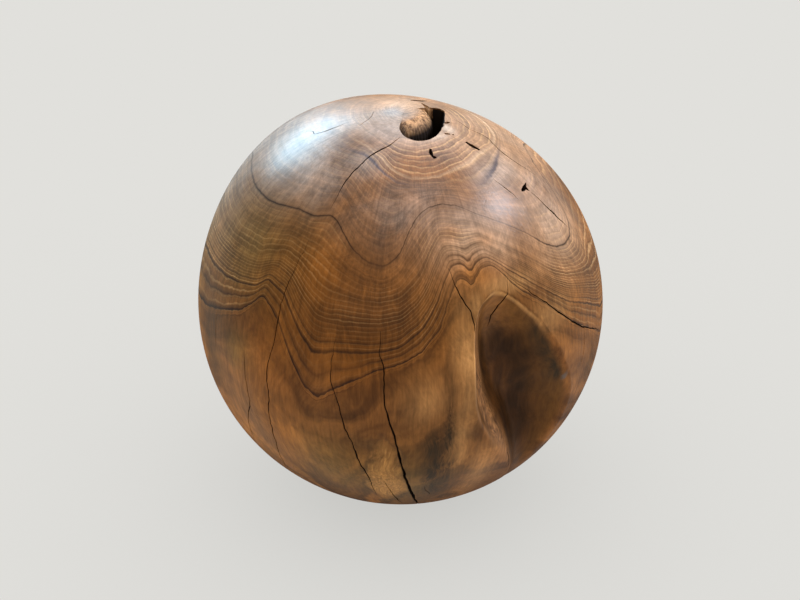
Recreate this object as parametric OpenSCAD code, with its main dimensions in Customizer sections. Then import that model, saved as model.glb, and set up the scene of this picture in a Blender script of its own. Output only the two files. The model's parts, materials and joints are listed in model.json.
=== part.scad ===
// Solid wooden ball worked from a single piece of root wood, in millimetres.
// The ball's centre is at the origin, +Z is up and the front faces -Y. Places on the ball
// are [longitude, latitude] in degrees: longitude runs to the right from the front.

/* [Ball] */
// Diameter of the ball
ball_d = 450; // [300:10:600]
// Height of the crown that swells out past the round ball
crown_swell = 13.5; // [5:0.5:20]
// Spread of the crown around its middle, in degrees
crown_spread = 34; // [25:1:50]
// Longitude that the crown leans to
crown_lon = -126; // [-180:1:180]
// Latitude that the crown leans to
crown_lat = 52; // [30:1:90]

/* [Side hollow] */
// Depth of the hollow below the ball's surface
hollow_depth = 45; // [25:1:60]
// Turn of the hollow to the right around the ball, in degrees
hollow_turn = 0; // [-15:1:15]
// Shift of the hollow up the ball, in degrees
hollow_rise = 0; // [-8:1:8]

/* [Knot hole] */
// Longitude of the hole's middle
pit_lon = 30; // [0:1:45]
// Latitude of the hole's middle
pit_lat = 78; // [70:1:85]
// Length of the hole
pit_l = 88; // [60:1:110]
// Width of the hole
pit_w = 38; // [25:1:50]
// Depth of the hole
pit_depth = 48; // [35:1:70]
// Diameter of the knot whose worn side slopes into the hole
stub_d = 90; // [80:1:110]
// Distance from the hole's middle to the knot's middle
stub_shift = 40; // [36:1:50]
// Radius of the knot's worn upper edge
stub_round = 24; // [10:1:30]

/* [Drying splits] */
// Greatest width of a main split at the surface
main_split_w = 3.2; // [1.5:0.1:5]
// Greatest depth of a main split
main_split_depth = 34; // [15:1:60]
// Greatest width of a fine split at the surface
fine_split_w = 1.8; // [1:0.1:3]
// Greatest depth of a fine split
fine_split_depth = 16; // [8:1:30]
// Greatest width of a slot in the crown
slot_w = 5; // [3:0.5:8]
// Greatest depth of a slot in the crown
slot_depth = 14; // [8:1:25]

/* [Insect holes] */
// Diameter of an insect hole
insect_d = 4; // [2:0.5:6]
// Depth of an insect hole
insect_depth = 10; // [5:1:20]

/* [Hidden] */
$fn = 120;
ball_r = ball_d / 2;

// Edges of the ball's profile from pole to pole
blank_edges = 72;

// Cutters start this far above the surface
clear = 6;

// Sections of the hollow from its top to its foot: latitude, longitude of the lip, longitude of the
// soft edge, share of the depth and softness of the lip
hollow_sections = [
    [25.4, 24.6, 27.6, 0.03, 0],
    [24, 22.4, 29.6, 0.14, 0],
    [21, 19.7, 33.1, 0.43, 0],
    [16, 18.2, 38, 0.72, 0],
    [9, 17.9, 42.5, 0.94, 0],
    [0, 18.1, 47.5, 1, 0.1],
    [-8, 19.8, 51.2, 1, 0.5],
    [-15, 23.5, 52.5, 0.88, 0.9],
    [-22, 28.2, 51.5, 0.6, 1],
    [-29, 33, 49.5, 0.3, 1],
    [-37, 38.1, 47.3, 0.1, 1]
];
// Shape across the hollow, with a steep and with a soft lip: share of the width and share of the depth
steep_lip = [
    [0.02, 0.05], [0.05, 0.25], [0.09, 0.42], [0.2, 0.68], [0.42, 1], [0.66, 0.81], [0.85, 0.4], [0.96, 0.08]
];
soft_lip = [
    [0.04, 0.03], [0.1, 0.12], [0.2, 0.37], [0.32, 0.72], [0.48, 1], [0.68, 0.82], [0.86, 0.34], [0.96, 0.06]
];
// Steps between two sections and between two points across
hollow_steps = 2;
across_steps = 2;
// The cutter's rim lies this far above the surface, and this far outside the hollow in degrees
rim_h = 2;
rim_out = 0.6;

// Local directions, anticlockwise from east: along the hole, and from its middle to the knot's middle
pit_turn = 44;
stub_turn = 117;
round_edges = 6;

// Width and depth at the tip of a split, and the steps between two points of its route
tip_w = 0.4;
tip_depth = 2;
route_steps = 2;

// Routes of the splits. The number is the share of the length at which a split is widest
main_splits = [
    [0.80, [[-5, 18], [-5, 10], [-4, 2], [-3, -4], [-1, -12], [0, -19], [2, -29], [6, -45], [9, -58]]],
    [0.30, [[0, 70], [-8, 67], [-16, 63], [-23, 55], [-25, 46]]],
    [0.65, [[55, 45], [59, 38], [63, 33]]]
];
fine_splits = [
    [0.70, [[-16, 16], [-17, 6], [-15, -4], [-12, -14], [-9, -27], [-7, -38]]],
    [0.60, [[-29, 37], [-31, 25], [-33, 12], [-35, 4], [-35, -8], [-37, -20], [-40, -32]]],
    [0.50, [[-43, 8], [-42, -1], [-43, -10], [-48, -24]]],
    [0.60, [[29, 29], [39, 20], [46, 14], [56, 8], [70, 1]]],
    [0.40, [[64, 76], [63, 69], [62, 61], [62, 55], [67, 47]]],
    [0.60, [[13, 32], [15, 27], [18, 21], [19, 16]]],
    [0.60, [[-5, -27], [-2, -38], [1, -48]]],
    [0.50, [[-72, 64], [-64, 65], [-58, 68], [-52, 73]]]
];
slots = [
    [0.50, [[44, 66], [47, 62]]],
    [0.50, [[17.8, 65], [17.1, 63.6], [18.2, 62.2]]],
    [0.50, [[53, 50], [54, 48], [56, 46]]],
    [0.50, [[104, 84.5], [86, 83.4], [69, 81.8]]],
    [0.50, [[137, 86], [126, 83.5], [129, 81]]]
];
insect_holes = [[52, 74.5], [41, 69.5], [36, 70.4]];

function direction(place) =
    [cos(place[1]) * sin(place[0]), -cos(place[1]) * cos(place[0]), sin(place[1])];
crown_middle = direction([crown_lon, crown_lat]);

// Distance from the centre to the surface, at an angle from the crown's middle and along a unit vector
function profile_r(angle) = ball_r + crown_swell * exp(-pow(angle / crown_spread, 2));
function surface_r(u) = profile_r(acos(u * crown_middle));

// Point at a share of a route's length, on a smooth curve through its points
function bend(a, b, c, d, t) =
    b + t * (c - a) / 2 + t * t * (a - 2.5 * b + 2 * c - d / 2) + t * t * t * (3 * (b - c) + d - a) / 2;
function route_at(route, share) =
    let (n = len(route) - 1, i = min(floor(share * n), n - 1))
    bend(route[max(i - 1, 0)], route[i], route[i + 1], route[min(i + 2, n)], share * n - i);

// Share of the full width at a share of the length: nought at both tips
function taper(share, widest) = sin(90 * (share < widest ? share / widest : (1 - share) / (1 - widest)));

// Three corners of a split's V at one share of its route: left edge, right edge and root
function split_corners(route, share, widest, w, depth) =
    let (
        step = 0.5 / (len(route) * route_steps),
        u = direction(route_at(route, share)),
        ahead = direction(route_at(route, min(share + step, 1))),
        behind = direction(route_at(route, max(share - step, 0))),
        side = cross(ahead - behind, u),
        down = max(depth * taper(share, widest), tip_depth),
        half = max(w * taper(share, widest), tip_w) / 2 * (down + clear) / down,
        out = half * side / norm(side)
    )
    [u * (surface_r(u) + clear) + out, u * (surface_r(u) + clear) - out, u * (surface_r(u) - down)];

// Stands a child on the surface at a place, with its Z axis pointing outwards
module at_place(place) {
    u = direction(place);
    translate(u * surface_r(u)) rotate([0, 90 - place[1], place[0] - 90]) rotate([0, 0, 90]) children();
}

module split(widest, route, w, depth) {
    n = (len(route) - 1) * route_steps;
    corners = [for (k = [0:n]) each split_corners(route, k / n, widest, w, depth)];
    sides = [
        for (k = [0:n - 1], j = [0:2])
            let (a = 3 * k + j, b = 3 * k + (j + 1) % 3)
            each [[a, b, b + 3], [a, b + 3, a + 3]]
    ];
    polyhedron(corners, concat([[2, 1, 0]], sides, [[3 * n, 3 * n + 1, 3 * n + 2]]));
}

// The round body: a ball with a crown that swells out of it, turned about the crown's middle
module blank() {
    edge = [for (k = [0:blank_edges]) let (a = 180 * k / blank_edges) profile_r(a) * [sin(a), cos(a)]];
    rotate([0, 90 - crown_lat, crown_lon - 90]) rotate_extrude() polygon(edge);
}

// Fold of the trunk that runs down the side: a loft through its sections. Row and column nought and
// the last ones are the cutter's rim, outside the hollow and above the surface
hollow_rows = (len(hollow_sections) - 1) * hollow_steps + 2;
hollow_columns = (len(steep_lip) - 1) * across_steps + 2;
function hollow_point(i, j) =
    let (
        section = route_at(hollow_sections, min(max(i - 1, 0), hollow_rows - 2) / (hollow_rows - 2)),
        share = min(max(j - 1, 0), hollow_columns - 2) / (hollow_columns - 2),
        across = (1 - section[4]) * route_at(steep_lip, share) + section[4] * route_at(soft_lip, share),
        on_rim = i == 0 || j == 0 || i == hollow_rows || j == hollow_columns,
        aside = j == 0 ? -rim_out : j == hollow_columns ? 3 * rim_out : 0,
        ahead = i == 0 ? rim_out : i == hollow_rows ? -3 * rim_out : 0,
        u = direction([
            hollow_turn + section[1] + (section[2] - section[1]) * across[0] + aside,
            hollow_rise + section[0] + ahead
        ])
    )
    u * (surface_r(u) - (on_rim ? -rim_h : hollow_depth * section[3] * across[1]));

module hollow_cutter() {
    n = hollow_columns + 1;
    count = n * (hollow_rows + 1);
    carved = [for (i = [0:hollow_rows], j = [0:hollow_columns]) hollow_point(i, j)];
    lid = [for (p = carved) p / norm(p) * (surface_r(p / norm(p)) + 2 * clear)];
    cells = [for (i = [0:hollow_rows - 1], j = [0:hollow_columns - 1]) i * n + j];
    ring = concat(
        [for (j = [0:hollow_columns - 1]) j],
        [for (i = [0:hollow_rows - 1]) i * n + hollow_columns],
        [for (j = [hollow_columns:-1:1]) hollow_rows * n + j],
        [for (i = [hollow_rows:-1:1]) i * n]
    );
    faces = concat(
        [for (a = cells) each [[a + n + 1, a + 1, a], [a + n, a + n + 1, a]]],
        [for (a = cells) let (b = a + count) each [[b, b + 1, b + n + 1], [b, b + n + 1, b + n]]],
        [
            for (k = [0:len(ring) - 1])
                let (a = ring[k], b = ring[(k + 1) % len(ring)])
                each [[a, b, b + count], [a, b + count, a + count]]
        ]
    );
    polyhedron(concat(carved, lid), faces);
}

// The knot: a round post whose upper edge is worn
module knot_stub() {
    r = stub_d / 2;
    edge = [
        for (k = [0:round_edges])
            let (a = 90 * k / round_edges)
            [r - stub_round + stub_round * cos(a), -stub_round + stub_round * sin(a)]
    ];
    rotate([0, 0, stub_turn]) translate([stub_shift, 0, 0])
        rotate_extrude() polygon(concat([[0, -2 * pit_depth], [r, -2 * pit_depth]], edge, [[0, 0]]));
}

// Slot with round ends, beside the knot
module knot_hole_cutter() {
    run = (pit_l - pit_w) / 2;
    at_place([pit_lon, pit_lat]) difference() {
        translate([0, 0, -pit_depth]) rotate([0, 0, pit_turn])
            linear_extrude(height = pit_depth + clear)
                hull() for (x = [-run, run]) translate([x, 0]) circle(d = pit_w, $fn = 36);
        knot_stub();
    }
}

// Root wood, mid brown
module ball() {
    color("#80583a") difference() {
        blank();
        hollow_cutter();
        knot_hole_cutter();
        for (s = main_splits) split(s[0], s[1], main_split_w, main_split_depth);
        for (s = fine_splits) split(s[0], s[1], fine_split_w, fine_split_depth);
        for (s = slots) split(s[0], s[1], slot_w, slot_depth);
        for (p = insect_holes)
            at_place(p) translate([0, 0, -insect_depth]) cylinder(h = insect_depth + clear, d = insect_d);
    }
}

ball();
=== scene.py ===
import json
import math
from functools import partial

import bmesh
import bpy
import numpy as np
from mathutils import Matrix, Vector
from mathutils.bvhtree import BVHTree

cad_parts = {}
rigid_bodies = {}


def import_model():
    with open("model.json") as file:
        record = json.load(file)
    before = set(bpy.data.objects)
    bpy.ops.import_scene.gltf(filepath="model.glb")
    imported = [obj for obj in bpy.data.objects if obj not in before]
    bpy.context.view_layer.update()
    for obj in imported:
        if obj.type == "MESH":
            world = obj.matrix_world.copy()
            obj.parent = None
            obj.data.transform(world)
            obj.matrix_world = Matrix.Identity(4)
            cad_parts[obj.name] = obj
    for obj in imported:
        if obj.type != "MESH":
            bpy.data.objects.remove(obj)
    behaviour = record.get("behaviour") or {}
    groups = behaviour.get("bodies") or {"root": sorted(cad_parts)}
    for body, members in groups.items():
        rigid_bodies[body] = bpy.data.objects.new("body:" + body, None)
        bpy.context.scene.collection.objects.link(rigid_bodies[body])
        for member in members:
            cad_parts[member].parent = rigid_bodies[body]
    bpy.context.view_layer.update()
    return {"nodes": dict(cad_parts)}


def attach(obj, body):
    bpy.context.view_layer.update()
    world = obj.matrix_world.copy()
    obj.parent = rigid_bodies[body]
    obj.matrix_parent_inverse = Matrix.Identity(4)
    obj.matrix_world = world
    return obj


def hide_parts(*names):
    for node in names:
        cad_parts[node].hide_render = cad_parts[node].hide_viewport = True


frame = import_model()
scene = bpy.context.scene
scene.view_settings.view_transform = "Standard"
print("frame loaded:", sorted(frame["nodes"]))


def hexColour(code):
    channels = [int(code[i:i + 2], 16) / 255 for i in (1, 3, 5)]
    return tuple(c / 12.92 if c <= 0.04045 else ((c + 0.055) / 1.055) ** 2.4 for c in channels) + (1.0,)


# Adds a node with its settings and links and gives back one of its outputs. A kind without "Node" in its
# name is a shader node, and its operation may follow it. Inputs are a list, or a dictionary if some are left out
def addNode(tree, kind, inputs=(), out=0, stops=None, curve=None, **settings):
    kind, _, operation = kind.partition(" ")
    node = tree.nodes.new(kind if "Node" in kind else "ShaderNode" + kind)
    if operation:
        node.operation = operation
    for name, value in settings.items():
        setattr(node, name, value)
    if stops:  # colour ramp: place and grey level
        ramp = node.color_ramp.elements
        while len(ramp) < len(stops):
            ramp.new(0.5)
        for element, (place, level) in zip(ramp, stops):
            element.position = place
            element.color = (level, level, level, 1)
    if curve:  # float curve: points from 0 to 1
        points = node.mapping.curves[0].points
        while len(points) < len(curve):
            points.new(0.5, 0.5)
        for point, place in zip(points, sorted(curve)):
            point.location = place
            point.handle_type = "AUTO_CLAMPED"
        node.mapping.update()
    for key, value in inputs.items() if isinstance(inputs, dict) else enumerate(inputs):
        if isinstance(value, bpy.types.NodeSocket):
            tree.links.new(value, node.inputs[key])
        else:
            node.inputs[key].default_value = value
    return node.outputs[out] if node.outputs else node


# Longitude runs to the right from the front, latitude up, both in degrees
def direction(lon, lat):
    lon, lat = np.radians(lon), np.radians(lat)
    return np.stack([np.cos(lat) * np.sin(lon), -np.cos(lat) * np.cos(lon), np.sin(lat)], -1)


def lonLat(points):
    unit = points / np.linalg.norm(points, axis=-1, keepdims=True)
    lon = np.degrees(np.arctan2(unit[:, 0], -unit[:, 1]))
    return lon, np.degrees(np.arcsin(np.clip(unit[:, 2], -1, 1)))


# Starts a Geometry Nodes tree with inputs named by kind: gives back the tree, its addNode and its inputs
def newTree(name, **kinds):
    tree = bpy.data.node_groups.new(name, "GeometryNodeTree")
    for end in ("INPUT", "OUTPUT"):
        tree.interface.new_socket("Geometry", in_out=end, socket_type="NodeSocketGeometry")
    for kind, labels in kinds.items():
        for label in labels:
            tree.interface.new_socket(label, in_out="INPUT", socket_type="NodeSocket" + kind)
    return tree, partial(addNode, tree), {s.name: s for s in tree.nodes.new("NodeGroupInput").outputs}


def endTree(add, geometry, wood):
    whole = add("GeometryNodeRealizeInstances", [geometry])
    add("NodeGroupOutput", [add("GeometryNodeSetMaterial", {"Geometry": whole, "Material": wood})])


# Puts a tree on an object, sets its named inputs, and gives back the result as a plain mesh
def runTree(obj, tree, values):
    modifier = obj.modifiers.new(tree.name, "NODES")
    modifier.node_group = tree
    for item in tree.interface.items_tree:
        if item.name in values:
            modifier[item.identifier] = values[item.name]
    obj.update_tag()
    bpy.context.view_layer.update()
    evaluated = obj.evaluated_get(bpy.context.evaluated_depsgraph_get())
    mesh = bpy.data.meshes.new_from_object(evaluated)
    obj.modifiers.remove(modifier)
    return mesh


def newObject(name, data):
    obj = bpy.data.objects.new(name, data)
    scene.collection.objects.link(obj)
    return obj


# Round body: a ball whose crown swells out at the upper left, with a natural hollow down its right side
ballForm = {
    "radius": 0.225,
    "crownSwell": 0.0135,
    "crownSpread": 34.0,      # degrees
    "crownAt": (-126, 52),    # longitude, latitude
    "hollowDepth": 0.045,
    "waviness": 0.0007,       # hand sanding leaves the ball a little uneven
    "wear": 0.0022,           # roughness of the hollow's floor
}
hollowForm = {
    "latSpan": (-54, 30),
    "lonSpan": (0, 80),
    # latitude and longitude of the two edges
    "leftEdge": [(30, 25.6), (26, 25.2), (25.2, 24.2), (24, 22.4), (22.4, 20.6), (21, 19.7), (18.5, 18.7),
        (16, 18.2), (9, 17.9), (0, 18.1), (-4, 18.6), (-8, 19.8), (-15, 23.5), (-22, 28.2), (-29, 33),
        (-37, 38.1), (-45, 42.6), (-54, 46)],
    "rightEdge": [(30, 26.0), (26, 26.6), (25.2, 28), (24, 29.6), (22.4, 31.6), (21, 33.1), (16, 38), (9, 42.5),
        (0, 47.5), (-8, 51.2), (-15, 52.5), (-22, 51.5), (-29, 49.5), (-37, 47.3), (-45, 46), (-54, 46.5)],
    # latitude and share of the full depth
    "depthAlong": [(30, 0), (26, 0), (25.2, 0.03), (24, 0.14), (22.5, 0.3), (21, 0.43), (16, 0.72), (9, 0.94),
        (0, 1), (-8, 1), (-15, 0.88), (-22, 0.6), (-29, 0.3), (-37, 0.1), (-44, 0.01), (-54, 0)],
    # latitude and softness of the lip
    "softAlong": [(30, 0), (9, 0), (0, 0.1), (-8, 0.5), (-15, 0.9), (-22, 1), (-54, 1)],
    # share of the width and share of the depth: a rolled lip, a steep side with a fold, then a soft rise; at the
    # foot both sides are soft
    "steepAcross": [(0, 0), (0.012, 0.015), (0.03, 0.1), (0.055, 0.3), (0.085, 0.41), (0.14, 0.5), (0.22, 0.74),
        (0.31, 0.94), (0.42, 1), (0.56, 0.93), (0.7, 0.75), (0.85, 0.4), (0.94, 0.13), (1, 0)],
    "softAcross": [(0, 0), (0.04, 0.03), (0.1, 0.12), (0.2, 0.37), (0.32, 0.72), (0.42, 0.95), (0.48, 1),
        (0.58, 0.95), (0.68, 0.82), (0.86, 0.34), (0.94, 0.1), (1, 0)],
}
# Fineness of the mesh: bands of longitude that are cut finer, each from so many degrees before the left
# edge of the hollow to so many degrees after one of its edges
blankMesh = {"subdivisions": 7, "latSpan": (-50, 30), "bands": [(-5, "rightEdge", 4), (-2.5, "leftEdge", 7)]}


def share(points, span, outSpan=(0, 1)):
    return [((a - span[0]) / (span[1] - span[0]), (b - outSpan[0]) / (outSpan[1] - outSpan[0])) for a, b in points]


def makeFormTree():
    tree, add, form = newTree("ball form", Vector=["Crown Direction"], Material=["Wood"], Float=[
        "Radius", "Crown Swell", "Crown Spread", "Hollow Depth", "Waviness", "Wear"])
    unit = add("VectorMath NORMALIZE", [add("GeometryNodeInputPosition")])
    # crown
    near = add("VectorMath DOT_PRODUCT", [unit, form["Crown Direction"]], out=1)
    angle = add("Math ARCCOSINE", [near])
    angle = add("Math DEGREES", [angle])
    ratio = add("Math DIVIDE", [angle, form["Crown Spread"]])
    square = add("Math MULTIPLY", [ratio, ratio])
    bell = add("Math POWER", [math.exp(-1), square])
    body = add("Math MULTIPLY_ADD", [form["Crown Swell"], bell, form["Radius"]])
    # place on the ball, in degrees
    x, y, z = add("SeparateXYZ", [unit]).node.outputs
    lat = add("Math ARCSINE", [z])
    lat = add("Math DEGREES", [lat])
    front = add("Math MULTIPLY", [y, -1.0])
    lon = add("Math ARCTAN2", [x, front])
    lon = add("Math DEGREES", [lon])
    # hollow between its two edges
    latSpan, lonSpan = hollowForm["latSpan"], hollowForm["lonSpan"]
    along = add("MapRange", [lat, *latSpan])
    place = add("MapRange", [lon, *lonSpan], clamp=False)
    left, right = (add("FloatCurve", {1: along}, curve=share(hollowForm[key], latSpan, lonSpan))
                   for key in ("leftEdge", "rightEdge"))
    across = add("MapRange", [place, left, right])
    soft, depth = (add("FloatCurve", {1: along}, curve=share(hollowForm[key], latSpan))
                   for key in ("softAlong", "depthAlong"))
    steep, gentle = (add("FloatCurve", {1: across}, curve=hollowForm[key])
                     for key in ("steepAcross", "softAcross"))
    section = add("Mix", {0: soft, 2: steep, 3: gentle})
    deep = add("Math MULTIPLY", [depth, section])
    carved = add("Math MULTIPLY", [deep, form["Hollow Depth"]])
    # unevenness only takes wood away
    sanding = add("TexNoise", {"Vector": unit, "Scale": 3.0, "Detail": 1.0})
    sanding = add("Math MULTIPLY", [sanding, form["Waviness"]])
    gouge = add("VectorMath MULTIPLY", [unit, (26, 26, 5)])
    gouge = add("TexNoise", {"Vector": gouge, "Scale": 1.0, "Detail": 2.0})
    gouge = add("Math MULTIPLY", [gouge, form["Wear"]])
    taken = add("Math MULTIPLY_ADD", [gouge, deep, sanding])
    taken = add("Math ADD", [carved, taken])
    reach = add("Math SUBTRACT", [body, taken])
    spot = add("VectorMath SCALE", {0: unit, "Scale": reach})
    endTree(add, add("GeometryNodeSetPosition", {"Geometry": form["Geometry"], "Position": spot}), form["Wood"])
    return tree


# Even triangles, finer where the hollow bends sharply
def ballBlank():
    bm = bmesh.new()
    bmesh.ops.create_icosphere(bm, subdivisions=blankMesh["subdivisions"], radius=1)
    lowest, highest = blankMesh["latSpan"]
    for before, edge, after in blankMesh["bands"]:
        lon, lat = lonLat(np.array([v.co for v in bm.verts]))
        left, right = (np.interp(lat, *np.array(sorted(hollowForm[key])).T) for key in ("leftEdge", edge))
        inside = (lon > left + before) & (lon < right + after) & (lat > lowest) & (lat < highest)
        edges = [e for e in bm.edges if inside[e.verts[0].index] and inside[e.verts[1].index]]
        bmesh.ops.subdivide_edges(bm, edges=edges, cuts=1, use_grid_fill=True)
        bmesh.ops.triangulate(bm, faces=[f for f in bm.faces if len(f.verts) > 3])
        bm.verts.index_update()
    mesh = bpy.data.meshes.new("ballBlank")
    bm.to_mesh(mesh)
    bm.free()
    return newObject("ballBlank", mesh)


woodMaterial = bpy.data.materials.new("oiledTeakRoot")
blank = ballBlank()
ballMesh = runTree(blank, makeFormTree(), {
    "Radius": ballForm["radius"], "Crown Swell": ballForm["crownSwell"], "Crown Spread": ballForm["crownSpread"],
    "Crown Direction": tuple(float(x) for x in direction(*ballForm["crownAt"])),
    "Hollow Depth": ballForm["hollowDepth"], "Waviness": ballForm["waviness"], "Wear": ballForm["wear"],
    "Wood": woodMaterial})
bpy.data.objects.remove(blank)
ball = newObject("rootWoodBall", ballMesh)
skin = newObject("skin", ballMesh.copy())  # the uncut form, which the cuts are laid on
skinTree = BVHTree.FromPolygons([v.co for v in ballMesh.vertices], [p.vertices for p in ballMesh.polygons])
rayStart, rayLength = 0.4, 0.5  # rays towards the skin start well outside the ball
print("round body:", len(ballMesh.polygons), "triangles")


def onSkin(unit):
    return skinTree.ray_cast(unit * rayStart, -unit)[0]


def spotAt(lon, lat):
    return onSkin(Vector(direction(lon, lat)))


# Splits: a V-shaped gap that wanders along its route and tapers to both ends
def makeSplitTree():
    tree, add, cut = newTree("split cutter", Object=["Ball"], Material=["Wood"], Float=[
        "Width", "Depth", "Clear", "Wander", "Widest", "Tip", "Seed"])
    smooth = add("GeometryNodeCurveSplineType", [cut["Geometry"]], spline_type="CATMULL_ROM")
    fine = add("GeometryNodeResampleCurve", {"Curve": smooth, "Length": splitSpec["step"]}, mode="LENGTH")
    here = add("GeometryNodeInputPosition")
    # the gap wanders from its route and is laid back on the ball
    drift = add("TexNoise", {"Vector": here, "W": cut["Seed"], "Scale": splitSpec["wanderScale"],
                             "Detail": 3.0}, out=1, noise_dimensions="4D")
    drift = add("VectorMath SUBTRACT", [drift, (0.5, 0.5, 0.5)])
    drift = add("VectorMath SCALE", {0: drift, "Scale": cut["Wander"]})
    moved = add("VectorMath ADD", [here, drift])
    outward = add("VectorMath NORMALIZE", [moved])
    above, inward = (add("VectorMath SCALE", {0: outward, "Scale": scale}) for scale in (rayStart, -1.0))
    target = add("GeometryNodeObjectInfo", {"Object": cut["Ball"]}, out="Geometry")
    hit = add("GeometryNodeRaycast", {"Target Geometry": target, "Source Position": above, "Ray Direction": inward,
                                      "Ray Length": rayLength}, out="Hit Position")
    laid = add("GeometryNodeSetPosition", {"Geometry": fine, "Position": hit})
    facing = add("VectorMath NORMALIZE", [add("GeometryNodeInputPosition")])
    turned = add("GeometryNodeSetCurveNormal", {"Curve": laid, "Normal": facing}, mode="FREE")
    # share of the full width: nought at both tips, uneven between them
    far = add("GeometryNodeSplineParameter", out="Factor")
    rising = add("Math DIVIDE", [far, cut["Widest"]])
    leftOver, room = (add("Math SUBTRACT", [1.0, part]) for part in (far, cut["Widest"]))
    falling = add("Math DIVIDE", [leftOver, room])
    ramp = add("Math MINIMUM", [rising, falling])
    ramp = add("Math POWER", [ramp, splitSpec["taper"]])
    uneven = add("TexNoise", {"Vector": here, "W": cut["Seed"], "Scale": splitSpec["widthScale"],
                              "Detail": 2.0}, noise_dimensions="4D")
    uneven = add("MapRange", [uneven, 0.3, 0.7, 0.55, 1.15])
    size = add("Math MULTIPLY", [ramp, uneven])
    size = add("Math MAXIMUM", [size, cut["Tip"]])
    # V: the root below the skin, two corners above it, with the skin line at the stated width
    half = add("Math MULTIPLY", [cut["Width"], 0.5])
    widen = add("Math DIVIDE", [cut["Clear"], cut["Depth"]])
    over = add("Math MULTIPLY_ADD", [half, widen, half])
    under, below = (add("Math MULTIPLY", [length, -1.0]) for length in (over, cut["Depth"]))
    corner = add("CombineXYZ", [below])
    for number, side in ((1, under), (2, over)):
        chosen = add("FunctionNodeCompare", {2: add("GeometryNodeInputIndex"), 3: number}, data_type="INT",
                     operation="EQUAL")
        corner = add("GeometryNodeSwitch", [chosen, corner, add("CombineXYZ", [cut["Clear"], side])],
                     input_type="VECTOR")
    vee = add("GeometryNodeCurvePrimitiveCircle", {"Resolution": 3})
    vee = add("GeometryNodeSetPosition", {"Geometry": vee, "Position": corner})
    swept = add("GeometryNodeCurveToMesh", {"Curve": turned, "Profile Curve": vee, "Scale": size,
                                            "Fill Caps": True})
    endTree(add, swept, cut["Wood"])
    return tree


def closeMesh(mesh):
    bm = bmesh.new()
    bm.from_mesh(mesh)
    bmesh.ops.remove_doubles(bm, verts=bm.verts, dist=1e-7)
    bmesh.ops.triangulate(bm, faces=bm.faces)
    bmesh.ops.recalc_face_normals(bm, faces=bm.faces)
    bm.to_mesh(mesh)
    bm.free()
    return mesh


# Cuts one object out of another, and deletes the cutter
def carve(target, cutter):
    modifier = target.modifiers.new("carve", "BOOLEAN")
    modifier.object = cutter
    modifier.operation = "DIFFERENCE"
    modifier.solver = "MANIFOLD"
    bpy.context.view_layer.update()
    mesh = bpy.data.meshes.new_from_object(target.evaluated_get(bpy.context.evaluated_depsgraph_get()))
    target.modifiers.remove(modifier)
    old, target.data = target.data, mesh
    bpy.data.meshes.remove(old)
    bpy.data.objects.remove(cutter)


# Knot hole at the top: a pit, and beside it the knot, whose worn and ribbed side slopes into it
knotHole = {
    "at": (19, 80),
    "depth": 0.05,
    "clear": 0.008,
    "floorShare": 0.8,
    # angle from the east side and distance of the rim from the middle, in mm; the knot covers the far left
    "rim": [(0, 35), (14, 40.5), (27, 48.5), (38, 42), (50, 28), (75, 20), (135, 12), (190, 13), (205, 17),
        (215, 24), (224, 32), (231, 37), (243, 44), (256, 47.5), (270, 46), (282, 42.5), (300, 36.5),
        (320, 32.5), (346, 33), (360, 35)],
    "rimSoftness": 7,         # degrees
    "pitNoise": 0.001,
    "pitRibs": 17.0,
    "pitRibDepth": 0.0003,
    "stubDiameter": 0.09,
    "stubShift": 0.029,
    "stubTurn": 123,
    # height share and radius share of the knot, whose upper edge is worn round
    "stubSide": [(0, 1), (0.733, 1), (0.778, 0.993), (0.822, 0.969), (0.867, 0.929), (0.9, 0.883), (0.933, 0.82),
        (0.956, 0.762), (0.978, 0.68), (0.989, 0.62), (1, 0.467)],
    "stubLength": 0.09,
    "stubNoise": 0.0015,
    "stubRibs": 64.0,
    "stubRibDepth": 0.001,
}
rimReach = max(r for _, r in knotHole["rim"])


def softRim(points, step=4.0):
    turns, reaches = np.array(points, float).T
    fine = np.arange(-60, 421, step)
    kernel = np.exp(-(np.arange(-4, 5) * step / knotHole["rimSoftness"]) ** 2)
    level = np.convolve(np.interp(fine % 360, turns, reaches), kernel / kernel.sum(), mode="same")
    return [(at / 360, r / rimReach) for at, r in zip(fine, level) if 0 <= at <= 360]


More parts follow.
